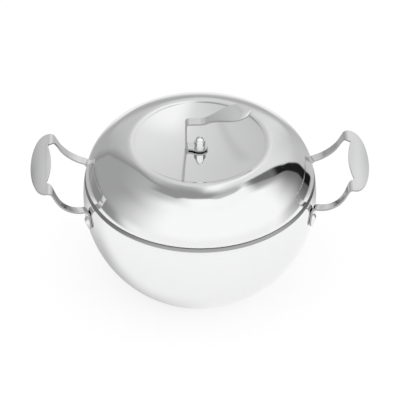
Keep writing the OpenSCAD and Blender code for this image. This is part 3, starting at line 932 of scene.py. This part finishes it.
class POT_OT_lid_fasteners(bpy.types.Operator):
    """Turns the cap nut, the screw, the washers and the gaskets on the lid"""
    bl_idname = "pot.lid_fasteners"
    bl_label = "Lid fasteners"

    def execute(self, context):
        sizes = context.scene.pot_fastener_sizes
        for name, node, slot, key in (("foot_rubber_ring", "foot_gasket", "gasket_rubber", "gasket_rubber"),
                                      ("lid_rubber_ring", "lid_seal", "gasket_rubber", "gasket_rubber"),
                                      ("lid_steel_washer", "lid_washer", "satin_steel", "satin_inside"),
                                      ("nut_lock_washer", "lock_washer", "satin_steel", "polished_fastener")):
            finish_piece(ring_piece(name, node), node, "lid", slot, finish(key))
        self.make_screw(sizes)
        self.make_nut(sizes)
        return {"FINISHED"}

    def make_screw(self, sizes):
        low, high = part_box("lid_screw")
        head = low.z + sizes.screw_head_h
        crown = domed_outline(sizes.screw_head_r, sizes.screw_head_h, head)
        outline = corners(*[(p.x, 2 * head - p.y) for p in crown[::-1]])
        outline += corners((sizes.screw_r, head), (sizes.screw_r, high.z - sizes.edge),
                           (sizes.screw_r - sizes.edge, high.z), (0, high.z))
        piece = turned_piece("lid_button_screw", outline, steps=64)
        finish_piece(piece, "lid_screw", "lid", "satin_steel", finish("polished_fastener"))

    def make_nut(self, sizes):
        low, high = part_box("cap_nut")
        corner = sizes.nut_flats / 2 / math.cos(math.radians(30))
        bore = sizes.screw_r + sizes.hole_gap
        chamfer = 0.6 * MM
        chamfer_step = 0.15 * MM
        root = 0.2 * MM
        top = low.z + sizes.nut_h
        flat = sizes.nut_flats / 2
        neck = sizes.nut_dome_r
        dome_z = high.z - neck
        outline = corners((0, top), (bore, top), (bore, low.z), (flat, low.z))
        outline += line(outline[-1], (corner, low.z + chamfer), chamfer_step)
        outline += line(outline[-1], (corner, top - chamfer), 0.6 * MM)
        outline += line(outline[-1], (flat - 0.1 * MM, top), chamfer_step)
        outline += corners((neck + root, top), (neck, top + root))
        outline += line(outline[-1], (neck, dome_z), 0.4 * MM)
        outline += arc((0, dome_z), neck, 0, 90, longest=0.35 * MM)
        piece = turned_piece("acorn_nut", outline, steps=96, axis_angle=24)
        for vertex in piece.data.vertices:
            reach = hex_reach(sizes.nut_flats, vertex.co.x, vertex.co.y)
            out = math.hypot(vertex.co.x, vertex.co.y)
            if out > reach:
                vertex.co.x *= reach / out
                vertex.co.y *= reach / out
        finish_piece(piece, "cap_nut", "lid", "polished_steel", finish("polished_fastener"))


# Stage

# Tones of the studio that the steel reflects, where 1 is white
TENT_TONE = 1.08
TENT_HIGH_TONE = 1.06
GAP_TONE = 0.012
GAP_HIGH_TONE = 0.17
SIDE_TONE = 0.72

# Tones of the floor, and of the shadow painted on it in reflections
FLOOR_COLOUR = (0.34, 0.34, 0.34, 1)
FLOOR_GLOW = 0.70
FLOOR_SHADOW_DIM = 0.42
FLOOR_REAR = 0.35


def reflected(tree, path):
    """1 for the rays that show the surroundings in the pieces, 0 for the others."""
    return Wire(tree, path.outputs["Is Glossy Ray"]).math("MAXIMUM", path.outputs["Is Transmission Ray"])


def studio_light(tree, direction):
    """How bright the studio is in a direction, as only reflections see it.

    It has a white tent around the camera that is open behind, and grey walls beyond the opening. Angles are in
    degrees, and the azimuth is 0 towards the camera.
    """
    x, y, z = split(tree, direction)
    rise = z.math("ARCSINE").math("DEGREES")
    fall = rise * -1.0
    azimuth = x.math("ARCTAN2", y * -1.0).math("DEGREES")
    side = azimuth.math("ABSOLUTE")
    right = azimuth.steps(-0.5, 0.5)
    turn = right.mixed(azimuth + 360.0, azimuth)
    high = rise.steps(60, 68)

    # Degrees past the tent's edge: on the right, on the left and over the top
    edge_right = rise.steps(0, 46) * 14.0 - rise.steps(6, 28) * 4.5 + fall.steps(4, 34) * 12.0 + 124.3
    past_right = side - edge_right
    past_left = side - (rise.steps(10, 30) * rise.steps(48, 66).flipped() * 6.0 + 137.0)
    bow = ((x * x) * (x * x) + 0.139 ** 4).math("POWER", 0.25)
    sag = (x * -1.0).steps(0.12, 0.2) * 3.0 + x.steps(0.06, 0.18) * 2.5 - x.steps(0.26, 0.38) * 6.5 + 3.0
    past_top = (y - bow) * 57.3 + sag

    # The tent, darker towards its side edges
    low = past_right.steps(-50, -4).mixed(TENT_TONE, 0.17)
    high_up = past_right.steps(-30, -4).mixed(TENT_TONE, 0.36)
    tent_right = rise.steps(57, 66).mixed(rise.steps(28, 55).mixed(low, high_up), TENT_HIGH_TONE)
    low = side.steps(30, 104).mixed(TENT_TONE, 0.39)
    high_up = side.steps(50, 130).mixed(TENT_HIGH_TONE, 0.52)
    tent_left = rise.steps(38, 72).mixed(low, high_up)
    tent = right.mixed(tent_left, tent_right)
    tent = rise.steps(68, 86).mixed(tent, x.steps(-0.3, -0.02).mixed(0.80, TENT_TONE))

    # The room behind it, with a seam in its back wall and a dark top
    back = turn.steps(152, 206).mixed(0.88, 0.62) * rise.steps(12, 56).mixed(0.93, 1.03)
    corner = (side.steps(138, 172) * fall.steps(-25, 0)).mixed(1.0, 0.78)
    walls = right.mixed(rise.steps(10, 45).mixed(0.45, 0.56), rise.steps(5, 50).mixed(0.60, 0.86) * corner)
    room = (side.steps(148, 162) * rise.steps(2, 12)).mixed(walls, back)
    room = room * (turn.band(188, 191, 2) * rise.band(25, 56, 4)).mixed(1.0, 0.87)
    room = (turn.band(151, 170, 7) * rise.steps(40, 56)).mixed(room, 1.05)
    room = (past_left.steps(0, 9).flipped() * right.flipped()).mixed(room, 0.30)
    reach = turn.steps(165, 195).mixed(9.0, 15.0)
    top = past_top.math("DIVIDE", reach).steps(0.4, 1.3).flipped() * high
    room = top.mixed(room, turn.steps(122, 152).mixed(0.58, 0.32))
    room = (side.steps(158, 168) * fall.steps(0, 12)).mixed(room, 0.95)

    # The tent's edge, the dark gap on its right, and its dimmer sides below the horizon
    edge = right.mixed(past_left.steps(-0.8, 1.2), past_right.steps(2.5, 6))
    edge = high.mixed(edge, past_top.steps(-0.7, 0.7))
    light = edge.mixed(tent, room)
    gap = past_right.band(-5, 4.5, 0.8) * right * rise.steps(56, 66).flipped()
    light = gap.mixed(light, rise.steps(42, 47).mixed(GAP_TONE, GAP_HIGH_TONE))
    light = (fall.steps(-4, 16) * side.steps(60, 90).flipped()).mixed(light, 1.0)
    beside = fall.steps(-6, 12) * side.steps(70, 92) * side.steps(120, 140).flipped()
    light = light * beside.mixed(1.0, SIDE_TONE)
    return fall.steps(28, 34).mixed(light, 1.0)


def make_world(scene):
    """White to the camera, even light on the pieces, and the studio in their reflections."""
    world = bpy.data.worlds.new("studio")
    scene.world = world
    world.use_nodes = True
    tree = world.node_tree
    tree.nodes.clear()
    output = tree.nodes.new("ShaderNodeOutputWorld")
    direction = tree.nodes.new("ShaderNodeTexCoord").outputs["Generated"]
    path = tree.nodes.new("ShaderNodeLightPath")
    level = reflected(tree, path).mixed(1.0, studio_light(tree, direction))
    level = Wire(tree, path.outputs["Is Camera Ray"]).mixed(level, 1.0)
    background = tree.nodes.new("ShaderNodeBackground")
    background.inputs["Color"].default_value = (1, 1, 1, 1)
    plug(tree, level, background.inputs["Strength"])
    tree.links.new(background.outputs[0], output.inputs[0])


def make_floor():
    """A pale floor, which the steel's reflections see darker behind the pot, and with a painted shadow on its
    left.
    """
    bpy.ops.object.select_all(action="DESELECT")
    bpy.ops.mesh.primitive_circle_add(vertices=96, radius=6, fill_type="NGON", location=(0, 0, -0.0002))
    floor = bpy.context.object
    floor.name = "floor"
    material = bpy.data.materials.new("pale_floor")
    material.use_nodes = True
    tree = material.node_tree
    tree.nodes.clear()
    output = tree.nodes.new("ShaderNodeOutputMaterial")
    place = tree.nodes.new("ShaderNodeTexCoord").outputs["Object"]
    x, y, _ = split(tree, place)
    radius = (x * x + y * y).math("SQRT")
    path = tree.nodes.new("ShaderNodeLightPath")
    matt = tree.nodes.new("ShaderNodeBsdfDiffuse")
    matt.inputs["Color"].default_value = FLOOR_COLOUR
    glow = tree.nodes.new("ShaderNodeEmission")
    glow.inputs["Color"].default_value = (1, 1, 1, 1)
    seen = reflected(tree, path)
    # painted shadow: for the rays that the steel reflects, the floor on the pot's left is darkened near the pot
    left = (y + x * 0.27).steps(-0.125, -0.045) * (x * -1.0).steps(-0.02, 0.05)
    dark = seen * left * (radius.steps(0.13, 0.26) * -0.75 + 1.0)
    rear = seen * y.steps(0.06, 0.13)
    plug(tree, (dark * -FLOOR_SHADOW_DIM + FLOOR_GLOW) * rear.mixed(1.0, FLOOR_REAR), glow.inputs["Strength"])
    both = tree.nodes.new("ShaderNodeAddShader")
    tree.links.new(matt.outputs[0], both.inputs[0])
    tree.links.new(glow.outputs[0], both.inputs[1])
    clear = tree.nodes.new("ShaderNodeBsdfTransparent")
    choose = tree.nodes.new("ShaderNodeMixShader")
    plug(tree, seen * radius.steps(0.34, 0.42), choose.inputs[0])
    tree.links.new(both.outputs[0], choose.inputs[1])
    tree.links.new(clear.outputs[0], choose.inputs[2])
    tree.links.new(choose.outputs[0], output.inputs[0])
    floor.data.materials.append(material)


def make_camera(scene, settings):
    """The camera at the pot's viewing angle, with the settings' scale at its aim."""
    data = bpy.data.cameras.new("camera")
    camera = bpy.data.objects.new("camera", data)
    scene.collection.objects.link(camera)
    scene.camera = camera
    e, a = settings.elevation, settings.azimuth
    back = Vector((-math.sin(a) * math.cos(e), -math.cos(a) * math.cos(e), math.sin(e)))
    right = Vector((math.cos(a), -math.sin(a), 0))
    up = back.cross(right)
    pixel = settings.mm_per_pixel * MM
    middle = Vector((0, 0, settings.aim_z)) - (right * settings.aim_right + up * settings.aim_up) * pixel
    camera.location = middle + back * settings.distance
    camera.rotation_mode = "QUATERNION"
    camera.rotation_quaternion = Matrix((right, up, back)).transposed().to_quaternion()
    half = settings.frame_px / 2 * pixel
    data.sensor_width = 36
    data.lens = data.sensor_width / 2 * settings.distance / half
    data.clip_start = 0.05
    data.clip_end = 50


class POT_OT_stage(bpy.types.Operator):
    """Sets up the pale floor, the studio's light and the camera"""
    bl_idname = "pot.stage"
    bl_label = "Stage"

    def execute(self, context):
        scene = context.scene
        scene.view_settings.view_transform = "Standard"
        make_world(scene)
        make_floor()
        make_camera(scene, scene.pot_stage)
        return {"FINISHED"}


STEPS = (POT_OT_body, POT_OT_base, POT_OT_side_handles, POT_OT_rivets, POT_OT_lid, POT_OT_lid_handle,
         POT_OT_lid_fasteners, POT_OT_stage)


class POT_PT_panel(bpy.types.Panel):
    """Buttons that make the pot's pieces and its stage"""
    bl_idname = "POT_PT_panel"
    bl_label = "Cooking pot"
    bl_space_type = "VIEW_3D"
    bl_region_type = "UI"
    bl_category = "Cooking pot"

    def draw(self, context):
        for step in STEPS:
            self.layout.operator(step.bl_idname)


GROUPS = {
    "pot_body_sizes": PotBodySizes,
    "pot_lid_sizes": LidSizes,
    "pot_lid_handle_sizes": LidHandleSizes,
    "pot_side_handle_sizes": SideHandleSizes,
    "pot_fastener_sizes": FastenerSizes,
    "pot_finish": SteelFinish,
    "pot_stage": StageSettings,
}


def register():
    for group in GROUPS.values():
        bpy.utils.register_class(group)
    for step in STEPS:
        bpy.utils.register_class(step)
    bpy.utils.register_class(POT_PT_panel)
    for name, group in GROUPS.items():
        setattr(bpy.types.Scene, name, PointerProperty(type=group))


def unregister():
    for name in GROUPS:
        delattr(bpy.types.Scene, name)
    bpy.utils.unregister_class(POT_PT_panel)
    for step in reversed(STEPS):
        bpy.utils.unregister_class(step)
    for group in reversed(GROUPS.values()):
        bpy.utils.unregister_class(group)


def main():
    register()
    bpy.ops.pot.body()
    bpy.ops.pot.base()
    bpy.ops.pot.side_handles()
    bpy.ops.pot.rivets()
    bpy.ops.pot.lid()
    bpy.ops.pot.lid_handle()
    bpy.ops.pot.lid_fasteners()
    bpy.ops.pot.stage()


if __name__ == "__main__":
    main()
